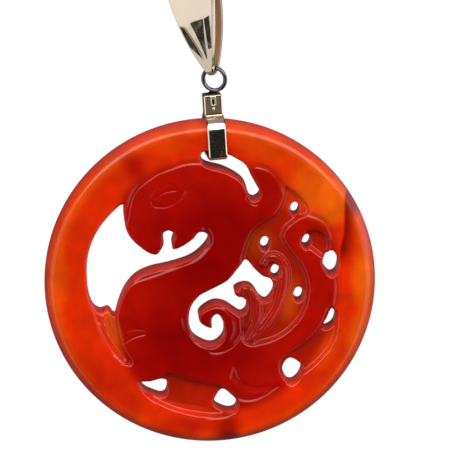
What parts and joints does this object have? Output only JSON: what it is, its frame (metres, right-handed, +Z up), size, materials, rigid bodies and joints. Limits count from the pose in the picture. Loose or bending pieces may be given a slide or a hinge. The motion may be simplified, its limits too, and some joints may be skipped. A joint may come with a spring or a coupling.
{
  "type": "pierced carved disc pendant",
  "caption": "Round pierced disc of red jade carved with an animal in a ring, held by a bent gold clip, whose soldered jump ring hangs in a tapered gold bail.",
  "frame": {"origin": "inside of the bail's round top, where a chain bears", "axes": "+Z up towards the wearer's neck, +Y back from the carved front towards the wearer, +X to the right seen from the front"},
  "size_m": [0.045, 0.0062, 0.0638],
  "materials": {
    "red_jade": "polished translucent stone",
    "gold": "polished"
  },
  "bodies": {
    "bail": {"bail": "gold"},
    "pendant": {"jade_disc": "red_jade", "clip_band": "gold"}
  },
  "joints": [
    {"name": "ring_swing", "type": "hinge", "parent": "bail", "child": "pendant", "pos_m": [0.00249, 0, -0.01078], "axis": [0.9156, -0.3333, 0.225], "range_deg": [-55, 55]}
  ]
}
